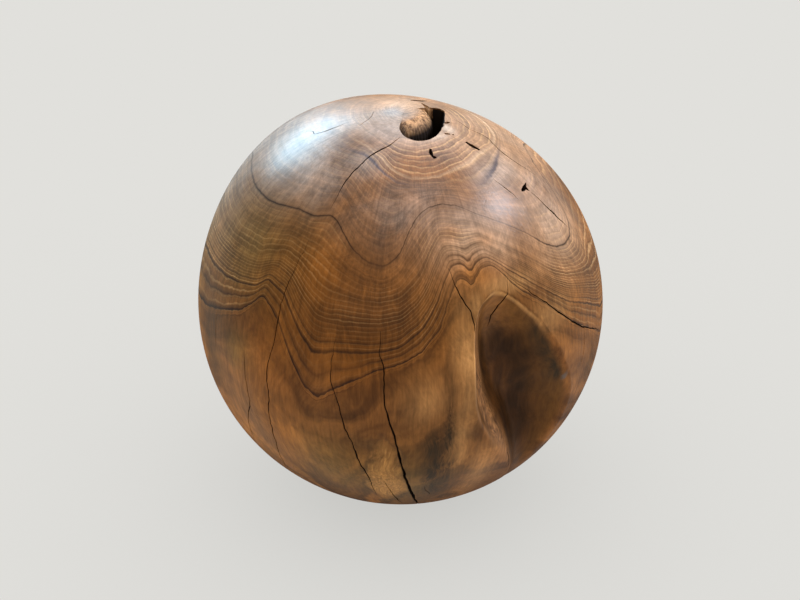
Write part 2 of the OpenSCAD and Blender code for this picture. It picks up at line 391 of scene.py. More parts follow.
def makeHoleTree():
    tree, add, hole = newTree("knot hole", Bool=["Stub"], Material=["Wood"], Float=[
        "Radius Scale", "Length", "Floor Share", "Ribs", "Rib Depth", "Roughness", "Seed"])
    drum = add("GeometryNodeMeshCylinder", {"Vertices": 256, "Side Segments": 40, "Fill Segments": 6,
                                            "Radius": 1.0, "Depth": 1.0}, fill_type="TRIANGLE_FAN")
    spot = add("GeometryNodeInputPosition")
    x, y, z = add("SeparateXYZ", [spot]).node.outputs
    # steps lie closer towards the top
    fromTop = add("Math SUBTRACT", [0.5, z])
    fromTop = add("Math POWER", [fromTop, 2.0])
    height = add("Math SUBTRACT", [1.0, fromTop])
    turn = add("Math ARCTAN2", [y, x])
    turn = add("Math DIVIDE", [turn, 2 * math.pi])
    turn = add("Math FRACT", [turn])
    rim = add("FloatCurve", {1: turn}, curve=softRim(knotHole["rim"]))
    taper = add("MapRange", [height, 0.0, 1.0, hole["Floor Share"], 1.0])
    pit = add("Math MULTIPLY", [rim, taper])
    stub = add("FloatCurve", {1: height}, curve=knotHole["stubSide"])
    wide = add("GeometryNodeSwitch", [hole["Stub"], pit, stub], input_type="FLOAT")
    wide = add("Math MULTIPLY", [wide, hole["Radius Scale"]])
    # ribs run down the side and fade towards the top
    warp = add("TexNoise", {"Vector": spot, "W": hole["Seed"], "Scale": 2.5, "Detail": 2.0},
               noise_dimensions="4D")
    phase = add("Math MULTIPLY", [turn, hole["Ribs"]])
    phase = add("Math MULTIPLY_ADD", [warp, 3.0, phase])
    phase = add("Math MULTIPLY", [phase, 2 * math.pi])
    wave = add("Math SINE", [phase])
    wave = add("Math MULTIPLY_ADD", [wave, 0.5, 0.5])
    lower = add("MapRange", [height, 1.0, 0.8, 0.15, 1.0])
    rib = add("Math MULTIPLY", [wave, lower])
    rib = add("Math MULTIPLY", [rib, hole["Rib Depth"]])
    rough = add("TexNoise", {"Vector": spot, "W": hole["Seed"], "Scale": 4.0, "Detail": 4.0},
                noise_dimensions="4D")
    rough = add("Math SUBTRACT", [rough, 0.5])
    rough = add("Math MULTIPLY", [rough, hole["Roughness"]])
    wide = add("Math SUBTRACT", [wide, rib])
    wide = add("Math ADD", [wide, rough])
    flat = add("VectorMath MULTIPLY", [spot, (1, 1, 0)])
    flat = add("VectorMath SCALE", {0: flat, "Scale": wide})
    up = add("Math MULTIPLY", [height, hole["Length"]])
    up = add("Math SUBTRACT", [up, hole["Length"]])
    place = add("VectorMath ADD", [flat, add("CombineXYZ", {2: up})])
    endTree(add, add("GeometryNodeSetPosition", {"Geometry": drum, "Position": place}), hole["Wood"])
    return tree


def standAt(lon, lat):
    out = Vector(direction(lon, lat))
    east = Vector((math.cos(math.radians(lon)), math.sin(math.radians(lon)), 0))
    turned = Matrix((east, out.cross(east), out)).transposed().to_4x4()
    return Matrix.Translation(spotAt(lon, lat)) @ turned


holeTree = makeHoleTree()


# The pit or the stub, moved to its place on the ball
def holeObject(name, moves, values):
    seedObject = newObject("holeSeed", bpy.data.meshes.new("holeSeed"))
    mesh = closeMesh(runTree(seedObject, holeTree, {
        **values, "Ribs": knotHole[name + "Ribs"], "Rib Depth": knotHole[name + "RibDepth"],
        "Roughness": knotHole[name + "Noise"], "Wood": woodMaterial}))
    bpy.data.objects.remove(seedObject)
    place = standAt(*knotHole["at"])
    for move in moves:
        place = place @ move
    mesh.transform(place)
    return newObject(name, mesh)


pit = holeObject("pit", [Matrix.Translation((0, 0, knotHole["clear"]))], {
    "Radius Scale": rimReach / 1000, "Length": knotHole["depth"] + knotHole["clear"],
    "Floor Share": knotHole["floorShare"], "Seed": 2.0, "Stub": False})
aside = [Matrix.Rotation(math.radians(knotHole["stubTurn"]), 4, "Z"),
         Matrix.Translation((knotHole["stubShift"], 0, 0))]
stub = holeObject("stub", aside, {
    "Radius Scale": knotHole["stubDiameter"] / 2, "Length": knotHole["stubLength"], "Floor Share": 1.0,
    "Seed": 5.0, "Stub": True})
carve(pit, stub)
carve(ball, pit)
print("knot hole cut:", len(ball.data.polygons), "faces")

# Splits: width and depth in mm, share of the length at which it is widest, share of the width that is left at
# its tips, and its route as longitude and latitude
splits = {
    "frontSplit": (3.4, 34, 0.72, 0.1, [(-5, 18), (-5, 13), (-4, 8), (-4, 1), (-3, -4), (-2, -8), (-1, -13),
        (0, -19), (2, -29), (6, -45), (9, -58)]),
    "leftOfFront": (2.0, 18, 0.7, 0.1, [(-16, 16), (-17, 6), (-16, 2), (-15, -2), (-14, -7), (-12, -14),
        (-11, -20), (-9, -27), (-8, -38)]),
    "crownSplit": (2.0, 26, 0.25, 0.1, [(0, 71), (-7, 67), (-16, 63), (-23, 55), (-24, 51), (-25, 46)]),
    "longSplit": (1.7, 14, 0.65, 0.1, [(-28, 40), (-30, 32), (-32, 24), (-33, 12), (-35, 4), (-35, -3),
        (-36, -10), (-37, -20), (-40, -32), (-44, -41)]),
    "leftSplit": (1.5, 12, 0.5, 0.1, [(-43, 8), (-43, -1), (-43, -9), (-47, -17), (-49, -23), (-52, -29)]),
    "farLeft": (1.1, 8, 0.5, 0.1, [(-57, 12), (-57, 7), (-57, 1)]),
    "ringShake": (1.9, 14, 0.6, 0.1, [(29, 29), (34, 25), (39, 21), (46, 15), (54, 9), (62, 5), (70, 1)]),
    "rightCrown": (1.5, 12, 0.6, 0.1, [(65, 76), (63, 72), (61, 69), (64, 65), (61, 61), (61, 56), (67, 48)]),
    "rightOpen": (2.3, 20, 0.5, 0.1, [(55, 46), (59, 39), (63, 33)]),
    "rightThin": (1.1, 8, 0.5, 0.1, [(41, 53), (44, 49), (47, 45)]),
    "hollowApex": (2.0, 14, 0.75, 0.1, [(30, 28), (29.2, 25), (28.6, 22.6), (27.6, 20.4), (27.2, 18.4),
        (26.8, 15.4)]),
    "besideHollow": (1.5, 16, 0.7, 0.1, [(13, 33), (14, 30), (15, 27), (17, 23), (18, 21), (19, 15)]),
    "hollowFoot": (1.3, 10, 0.6, 0.1, [(31.5, -20.5), (33.5, -25), (37, -33)]),
    "low": (1.7, 14, 0.6, 0.1, [(-5, -27), (-2, -38), (1, -48)]),
    "lowRight": (1.1, 8, 0.5, 0.1, [(7, -31), (8, -34), (10, -38)]),
    "rightEdge": (1.1, 8, 0.5, 0.1, [(56, 8), (56, 2), (55, -3)]),
    "topLeft": (1.5, 12, 0.6, 0.1, [(-72, 64), (-67, 65), (-62, 65), (-57, 68), (-53, 72)]),
    "topLeftUpper": (1.2, 8, 0.5, 0.1, [(-38, 73), (-38, 77), (-47, 81)]),
    "slot": (6.2, 14, 0.5, 0.5, [(44, 66), (46, 63.6), (47.5, 62)]),
    "angleSlotUpper": (5.6, 10, 0.5, 0.4, [(18, 65.5), (17, 64), (17.4, 62.6)]),
    "angleSlotLower": (4.6, 9, 0.5, 0.4, [(17, 62.9), (18, 62.4), (19, 62.2)]),
    "wingPit": (5.2, 14, 0.6, 0.1, [(56.6, 48.6), (54, 47.9), (50.6, 47.1)]),
    "wingPitLeg": (4.6, 10, 0.4, 0.1, [(53.4, 48.2), (53.8, 47.3), (54.6, 46.3)]),
    "backSlit": (7.5, 18, 0.5, 0.25, [(138, 86.2), (133, 84.7), (127, 83.4), (128.6, 81)]),
    "notch": (6.0, 24, 0.7, 0.35, [(103, 84.4), (86, 83.5), (75, 82.7), (68, 81.6)]),
    "insectUpper": (5.0, 11, 0.5, 0.4, [(46, 74.4), (50, 74.6), (53.4, 74.4)]),
    "insectLower": (4.4, 11, 0.6, 0.4, [(35.4, 70.5), (37.2, 70.2), (39, 69.8)]),
    "rimSlit": (3.0, 9, 0.6, 0.3, [(28.6, 71.1), (32.4, 72), (38, 73), (44.6, 74)]),
}
# Lengths in metres; scales of the noise that bends a split and makes its width uneven
splitSpec = {"clear": 0.004, "wander": 0.0045, "step": 0.0022, "wanderScale": 90.0, "widthScale": 70.0,
             "taper": 0.6}
splitTree = makeSplitTree()
for number, (name, (width, depth, widest, tip, places)) in enumerate(splits.items()):
    line = bpy.data.curves.new(name, "CURVE")
    line.dimensions = "3D"
    spline = line.splines.new("POLY")
    spline.points.add(len(places) - 1)
    for point, place in zip(spline.points, places):
        point.co = (*spotAt(*place), 1)
    route = newObject(name, line)
    cutterMesh = closeMesh(runTree(route, splitTree, {
        "Ball": skin, "Width": width / 1000, "Depth": depth / 1000, "Clear": splitSpec["clear"],
        "Wander": splitSpec["wander"], "Widest": widest, "Tip": tip, "Seed": float(number), "Wood": woodMaterial}))
    bpy.data.objects.remove(route)
    carve(ball, newObject("cutter", cutterMesh))
print("splits cut:", len(splits), "splits,", len(ball.data.polygons), "faces")

# Insect holes: one small round cutter set on each place, square to the surface
insectHoles = {"diameter": 0.0028, "depth": 0.012, "places": [(52, 74.5), (41, 69.5), (36, 70.4)], "sides": 14,
               "leastScale": (0.7, 0.7, 1), "mostScale": (1.5, 1.1, 1), "seed": 3}


def makeInsectTree():
    tree, add, bore = newTree("insect holes", Float=["Diameter", "Depth"], Int=["Seed"], Material=["Wood"])
    radius = add("Math MULTIPLY", [bore["Diameter"], 0.5])
    length = add("Math MULTIPLY", [bore["Depth"], 2.0])
    peg = add("GeometryNodeMeshCylinder", {"Vertices": insectHoles["sides"], "Radius": radius, "Depth": length})
    outward = add("VectorMath NORMALIZE", [add("GeometryNodeInputPosition")])
    turned = add("FunctionNodeAlignRotationToVector", {"Vector": outward}, axis="Z")
    size = add("FunctionNodeRandomValue", {"Min": insectHoles["leastScale"], "Max": insectHoles["mostScale"],
                                           "Seed": bore["Seed"]}, data_type="FLOAT_VECTOR")
    pegs = add("GeometryNodeInstanceOnPoints", {"Points": bore["Geometry"], "Instance": peg, "Rotation": turned,
                                                "Scale": size})
    endTree(add, pegs, bore["Wood"])
    return tree


boreMesh = bpy.data.meshes.new("borePlaces")
boreMesh.from_pydata([spotAt(*place) for place in insectHoles["places"]], [], [])
borePlaces = newObject("borePlaces", boreMesh)
pegMesh = closeMesh(runTree(borePlaces, makeInsectTree(), {
    "Diameter": insectHoles["diameter"], "Depth": insectHoles["depth"], "Seed": insectHoles["seed"],
    "Wood": woodMaterial}))
bpy.data.objects.remove(borePlaces)
carve(ball, newObject("pegs", pegMesh))
bpy.data.objects.remove(skin)

sharpAngle = 42  # degrees between faces, past which an edge isn't smoothed
bm = bmesh.new()
bm.from_mesh(ball.data)
bmesh.ops.triangulate(bm, faces=bm.faces)
bm.to_mesh(ball.data)
bm.free()
ball.data.shade_smooth()
ball.data.set_sharp_from_angle(angle=math.radians(sharpAngle))
ball.data.materials.clear()
ball.data.materials.append(woodMaterial)
print("ball finished:", len(ball.data.polygons), "triangles")

# Growth lines of the trunk, each as longitude and latitude around the ball, and their place in the count of rings
growthLines = {
    "hole": (0, [(-180, 84), (-120, 84), (-60, 79), (-30, 75), (-10, 71), (10, 69), (30, 70), (50, 73),
        (70, 77), (100, 82), (140, 84)]),
    "brow": (7, [(-180, 77), (-120, 76), (-60, 71), (-35, 68.5), (-20, 66), (-10, 62.5), (-2.6, 58), (4, 56.2),
        (10.3, 55.7), (17.2, 56.3), (28.8, 58.5), (45.4, 61.1), (60, 61.8), (70, 63), (90, 67), (110, 71),
        (150, 76)]),
    "grey": (9, [(-180, 70), (-120, 69), (-70, 65.5), (-50, 64.5), (-35, 64), (-20, 63), (-13, 60.5),
        (-7, 57.3), (-2, 55), (4, 54), (12, 53.5), (20, 53), (30, 51.5), (37, 52.3), (45, 55), (52, 57.6),
        (60, 60), (75, 62), (110, 67), (150, 70)]),
    "crisp": (24, [(-180, 52), (-166, 45), (-152, 49), (-138, 54), (-124, 46), (-108, 44), (-90, 48),
        (-75, 46.5), (-60, 44.5), (-48, 43.8), (-37, 44.5), (-30, 43.5), (-24, 44.7), (-20, 42.5), (-17, 39.5),
        (-14, 36.5), (-10, 34.3), (-5, 33), (-2, 34.5), (0, 36.5), (1.5, 40), (3.5, 43.5), (6.5, 46.5),
        (10, 48), (15, 48.7), (21, 47.5), (28, 44), (35, 41), (42, 37), (47, 33), (52, 30.5), (57, 30),
        (62, 31), (66, 34.5), (68, 40), (70, 46), (75, 52), (90, 56), (106, 50), (120, 43), (134, 47),
        (148, 56), (164, 57)]),
    "mid": (33, [(-180, 32), (-166, 26), (-152, 33), (-138, 39), (-124, 29), (-108, 26), (-92, 33), (-75, 32),
        (-60, 31), (-45, 30.5), (-36, 33), (-30, 31.5), (-20, 25), (-5, 24), (0, 25), (4, 28), (7, 32), (9, 36),
        (12, 39.5), (15, 39), (20, 38), (25, 38.5), (30, 36), (38, 31), (45, 26), (52, 22.5), (60, 20.5),
        (68, 18), (80, 16), (94, 24), (106, 30), (120, 22), (134, 27), (148, 38), (164, 39)]),
    "dark": (44, [(-180, 14), (-166, 6), (-152, 17), (-138, 26), (-124, 13), (-108, 9), (-92, 20), (-75, 22.5),
        (-60, 22), (-50, 22.2), (-42, 23.4), (-38.4, 26), (-32, 23.7), (-26, 16), (-22, 11.5), (-16.5, 12.5),
        (-9, 12.8), (-4.5, 13.3), (0, 14.5), (5, 18), (8, 22), (10, 26), (12, 30), (14, 32.3), (17.6, 32.7),
        (19, 30.8), (19.6, 30.4), (20.6, 32), (25, 33), (29, 31), (35, 27), (42, 22), (50, 17), (60, 13),
        (70, 8), (84, 6), (96, 15), (106, 20), (120, 6), (134, 9), (148, 22), (164, 24)]),
    "darkest": (48, [(-180, 4), (-166, -6), (-152, 9), (-138, 20), (-124, 4), (-108, -2), (-92, 8), (-75, 9),
        (-65, 10.4), (-57, 12.4), (-51, 14.2), (-46, 15.8), (-42, 19), (-39, 21.6), (-37, 20.6), (-32.7, 16.9),
        (-28, 9), (-24.2, 2.2), (-20.6, -0.6), (-17.4, 2), (-12, 5), (-6, 8.3), (0, 10.2), (5, 13), (10, 18.5),
        (13, 26), (15.4, 29.2), (17.8, 28.8), (18.8, 27), (19.4, 26.8), (20.4, 29.4), (22.7, 30.8),
        (26.4, 30.8), (29.5, 28), (33, 24.4), (42, 18), (50, 11.5), (58, 7), (70, 0), (84, -3), (96, 7),
        (106, 13), (120, -5), (134, -2), (148, 14), (164, 16)]),
    "skirt": (50, [(-180, 2), (-166, -8), (-152, 7), (-138, 18), (-124, 2), (-108, -4), (-92, 6), (-75, 7.6),
        (-65, 9), (-57, 11), (-51, 12.8), (-46, 14.4), (-42, 17.6), (-39, 20.4), (-37, 19.4), (-32.6, 15.7),
        (-28, 7.8), (-24.2, 1), (-20.6, -1.8), (-17.4, 0.8), (-12, 3.9), (-6, 7.5), (0, 9.2), (5, 12),
        (10, 17.5), (13, 25), (16, 27.8), (19, 25.8), (23, 29.8), (26.4, 29.8), (29.5, 27), (33, 23.4),
        (42, 17), (50, 10.5), (58, 6), (70, -1), (84, -4), (96, 5.5), (106, 11), (120, -7), (134, -4),
        (148, 12), (164, 14)]),
    # below the last ring the wood only clouds in long slanting flames
    "foot": (56, [(-180, -50), (-166, -80), (-152, -52), (-138, -22), (-124, -54), (-108, -80), (-92, -50),
        (-75, -34), (-58, -24), (-46, -34), (-32, -62), (-20, -78), (-8, -58), (4, -44), (16, -34), (40, -44),
        (70, -40), (84, -66), (96, -40), (106, -20), (120, -70), (134, -78), (148, -40), (164, -26)]),
    "base": (60, [(-180, -90), (0, -90)]),
}
# rings that stand out dark: how strongly, and where they begin and end
boldLines = {24: (1.0, 0.45, 0.2), 38: (0.3, 0.6, 0.35), 42: (0.6, 0.7, 0.3), 44: (0.9, 0.7, 0.25),
             46: (0.65, 0.9, 0.3), 48: (1.0, 1.0, 0.3)}
# fold of the trunk: its latitudes and how softly it ends below and above, in degrees; the slant of its lobes, as
# size and turns; longitude and height of each crest; and the rings that swell there
fold = {"lat": (22, 44), "edges": (5, 8), "slant": (1.6, 22), "crests": [(10, 0), (15, 0.6), (24.6, 0.9), (34, 0)],
        "lines": (36, 40, 43.5, 47.2)}
lastRing = 60.0  # of the count
# Smoothing of the growth lines in degrees: sharp turns at the front, as in the photo, and wider ones at the
# back, where the points lie far apart
smoothing = {"step": 0.25, "reach": 15, "front": 0.7, "back": 6.5, "backFrom": 74, "backOver": 16}
ringsPerDegree = 0.8  # above the first growth line


def latitudeOf(points, lon):
    lons, lats = np.array(points, float).T
    lons, lats = np.concatenate([lons - 360, lons, lons + 360]), np.tile(lats, 3)
    step = smoothing["step"]
    fine = np.arange(-200, 200, step)
    level = np.interp(fine, lons, lats)
    side = int(smoothing["reach"] / step)
    kernels = (np.exp(-(np.arange(-side, side + 1) * step / smoothing[key]) ** 2) for key in ("front", "back"))
    level = np.pad(level, side, mode="edge")
    sharp, wide = (np.convolve(level, kernel / kernel.sum(), mode="valid") for kernel in kernels)
    behind = np.clip((np.abs(fine) - smoothing["backFrom"]) / smoothing["backOver"], 0, 1)
    return np.interp(lon, fine, sharp + behind * (wide - sharp))


def countRings(lon, lat):
    counts = [count for count, _ in growthLines.values()]
    levels = np.stack([latitudeOf(points, lon) for _, points in growthLines.values()])
    (lowest, highest), (below, above), (lean, turns) = fold["lat"], fold["edges"], fold["slant"]
    inFold = np.clip((lat - lowest) / below, 0, 1) * np.clip((highest - lat) / above, 0, 1)
    slant = lon + lean * np.sin(np.radians(lat * turns))
    for (before, _), (crest, height), (after, _) in zip(fold["crests"], fold["crests"][1:], fold["crests"][2:]):
        half = np.where(slant < crest, (crest - before) / 2, (after - crest) / 2)
        lat = lat - height * inFold * np.clip(1 - ((slant - crest) / half) ** 2, 0, None)
    rings = np.where(lat > levels[0], counts[0] - (lat - levels[0]) * ringsPerDegree, 0.0)
    for k in range(len(counts) - 1):
        span = np.maximum(levels[k] - levels[k + 1], 0.3)
        here = (lat <= levels[k]) & (lat > levels[k + 1])
        rings = np.where(here, counts[k] + (levels[k] - lat) / span * (counts[k + 1] - counts[k]), rings)
    return np.where(lat <= levels[-1], counts[-1], rings)


# Soft patches of the wood, some also painting shade, highlights and sheen: longitude, latitude, reach in each and
# strength
patches = {
    "lined": [(-60, 24, 20, 11, 1.0), (-92, 28, 26, 17, 1.0), (-6, 20, 15, 8, 0.35), (-29, 27, 10, 10, 0.55),
        (8, 28, 5, 14, 0.7), (46, 22, 16, 8, 0.8), (72, 24, 20, 16, 0.8), (18, 63.5, 40, 6.5, 0.8),
        (78, 73, 40, 11, 1.0), (98, 54, 28, 15, 0.8), (20, 37, 9, 6, 0.7), (-10, 80, 60, 8, 0.5),
        (170, 42, 40, 14, 0.5), (-140, 28, 22, 12, 0.6), (115, 30, 18, 12, 0.6), (54, 10, 14, 6, 0.6),
        (-50, 12, 8, 5, 1.0)],
    # grey: grey wood, and over the crown a painted cool sheen beside the window lamp's highlight
    "grey": [(-60, 58, 38, 13, 0.85), (-10, 76, 60, 9, 0.7), (-22, 61, 16, 7, 0.6), (44, 55, 14, 6, 0.6),
        (-100, 50, 34, 22, 0.8), (0, 47, 24, 9, 0.35), (60, 44, 16, 9, 0.35), (20, 44, 16, 6, 0.3),
        (150, 62, 40, 14, 0.5)],
    "greyLine": [(-14, 60.5, 19, 7, 1.0), (48, 55, 16, 7, 1.0)],
    "olive": [(-52, 33, 24, 14, 0.8), (-62, 12, 14, 14, 0.45), (-18, -24, 14, 14, 0.55), (-80, 20, 20, 20, 0.6),
        (-60, 2, 7, 10, 0.5), (-47, 6, 7, 6, 0.7), (2, -30, 9, 16, 0.6), (-130, 40, 30, 18, 0.6),
        (150, 30, 24, 20, 0.5)],
    # tan: lighter wood, and along the hollow's left lip a painted highlight
    "tan": [(-46, -16, 16, 14, 0.3), (16.5, 8, 4, 16, 0.85), (15, -12, 3, 14, 0.6), (23, -26, 5, 12, 0.5),
        (28, 26.6, 8, 2.4, 1.0), (20, 23, 2.5, 4, 0.9), (42, 16, 8, 4, 0.5), (6, 1, 6, 7, 0.55)],
    # cream: pale wood, and round the top of the crown a painted sheen
    "cream": [(55, 36, 16, 11, 0.75), (85, 62, 40, 14, 0.6), (60, 60, 30, 12, 0.7), (0, 92, 400, 9, 0.8),
        (24, 37, 13, 7, 1.0), (20, 72, 30, 6, 0.4)],
    "orange": [(21, 30.5, 7, 4, 0.75), (16, 41, 3, 2, 0.5), (26, 38, 4, 2.5, 0.4), (-33, 6, 10, 16, 0.5),
        (-14, 9, 12, 6, 0.5), (-35, -14, 7, 14, 0.6), (75, 8, 20, 10, 0.6), (-22, 32, 8, 8, 0.4),
        (16, 58, 30, 3, 0.3), (-75, 8, 16, 24, 0.5), (-55, -22, 14, 14, 0.6), (165, -30, 26, 26, 0.6),
        (-110, -35, 26, 26, 0.6), (95, -25, 14, 26, 0.5)],
    # deep: dark wood, and on the right flank painted shade
    "deep": [(-30, 2, 10, 14, 0.3), (-5, 6, 16, 8, 0.35), (-10, -8, 16, 9, 0.3), (0, 21, 14, 7, 0.55),
        (45, 22, 9, 4, 0.4), (-2, 34, 14, 10, 0.25), (82, 14, 16, 14, 0.6), (66, 16, 12, 10, 0.8),
        (64, 0, 10, 9, 0.4), (-8, 14, 16, 6, 0.3), (-3, 26, 14, 7, 0.4), (24, -12, 5, 7, 0.5),
        (-150, -12, 30, 32, 0.55), (130, -5, 26, 30, 0.55)],
    "folded": [(19, 32, 7, 7, 1.0)],
    "pale": [(-4, -27, 6.5, 17, 1.0)],
    "stain": [(12, -10, 1.6, 13, 1.0), (10.5, -25, 5.5, 15, 1.0), (2.5, 1, 3, 5, 0.25), (9, -15, 4, 8, 0.9),
        (-61, 4, 4, 9, 0.5), (18, -20, 3, 8, 0.5), (62, -6, 3, 4, 0.5), (-8, -13, 6, 2, 0.5)],
    # dark patches in the hollow: partly stain, partly painted shade
    "hollowStain": [(31, 11, 3.4, 5, 0.8), (34.5, 8, 4.5, 6, 0.85), (37.5, 4, 4, 6, 0.8), (39, -2, 3, 6, 0.8),
        (41, -9, 3.2, 7, 0.75), (40, -15, 3.6, 7, 0.8), (42.5, -20, 3.4, 7, 0.75), (38, -22, 3.6, 8, 0.6),
        (25.5, 9, 1.6, 4.5, 0.6)],
    "streak": [(40, 9, 5, 7, 1.0), (45, 0, 4, 6, 0.9)],
    "chip": [(48.2, -3.4, 1.0, 1.9, 1.0)],
    "lobe": [(-17, 82.5, 26, 3.4, 1.0)],
    "bleach": [(43, 72.3, 5, 2.4, 0.9), (28, 70, 9, 1.5, 0.55)],
    # painted shadow in the lower left of the knot hole
    "burn": [(2, 74.4, 9, 3.4, 1.0)],
}


def softPatch(spots, lon, lat):
    total = np.zeros_like(lon)
    for lon0, lat0, wide, tall, strength in spots:
        aside = (lon - lon0 + 180) % 360 - 180
        total = np.maximum(total, strength * np.exp(-(aside / wide) ** 2 - ((lat - lat0) / tall) ** 2))
    return total


# Share of the hollow's depth, and share of the way across it
def hollowShare(lon, lat):
    low, high, deep, soft = (np.interp(lat, *np.array(sorted(hollowForm[key])).T)
                             for key in ("leftEdge", "rightEdge", "depthAlong", "softAlong"))
    place = np.clip((lon - low) / np.maximum(high - low, 0.1), 0, 1)
    steep, gentle = (np.interp(place, *np.array(hollowForm[key]).T) for key in ("steepAcross", "softAcross"))
    return deep * (steep + soft * (gentle - steep)), place


co = np.empty(len(ball.data.vertices) * 3, np.float32)
ball.data.vertices.foreach_get("co", co)
co = co.reshape(-1, 3).astype(float)
lon, lat = lonLat(co)
reach = np.linalg.norm(co, axis=1)
sunk = np.array([onSkin(Vector(point / r)).length - r for point, r in zip(co, reach)])
toHole = np.array(standAt(*knotHole["at"]).inverted())
local = co @ toHole[:3, :3].T + toHole[:3, 3]
holeReach = {"radius": 0.0495, "below": 0.0002, "wallGap": 0.0006}  # what is inside the knot hole, in metres
inHole = (np.hypot(local[:, 0], local[:, 1]) < holeReach["radius"]) & (sunk > holeReach["below"])
turn = math.radians(knotHole["stubTurn"])
knotX, knotY = knotHole["stubShift"] * math.cos(turn), knotHole["stubShift"] * math.sin(turn)
fromKnot = np.hypot(local[:, 0] - knotX, local[:, 1] - knotY)
deepness, acrossPlace = hollowShare(lon, lat)
grain = {
    "ring": countRings(lon, lat),
    "hollow": deepness,
    "across": acrossPlace,
    "sunk": np.where(inHole, 0, np.clip(sunk, 0, 0.05) * 1000),  # mm
    "pit": np.where(inHole, np.clip(sunk, 0, 0.06) * 1000, 0),  # mm
    # painted shade: the pit's wall beside the knot is coloured near black
    "wall": inHole & (fromKnot > knotHole["stubDiameter"] / 2 + holeReach["wallGap"]),
    **{name: softPatch(spots, lon, lat) for name, spots in patches.items()},
}
for name, values in grain.items():
    layer = ball.data.attributes.new(name, "FLOAT", "POINT")
    layer.data.foreach_set("value", np.ascontiguousarray(values, np.float32))
print("grain laid out:", len(co), "points")


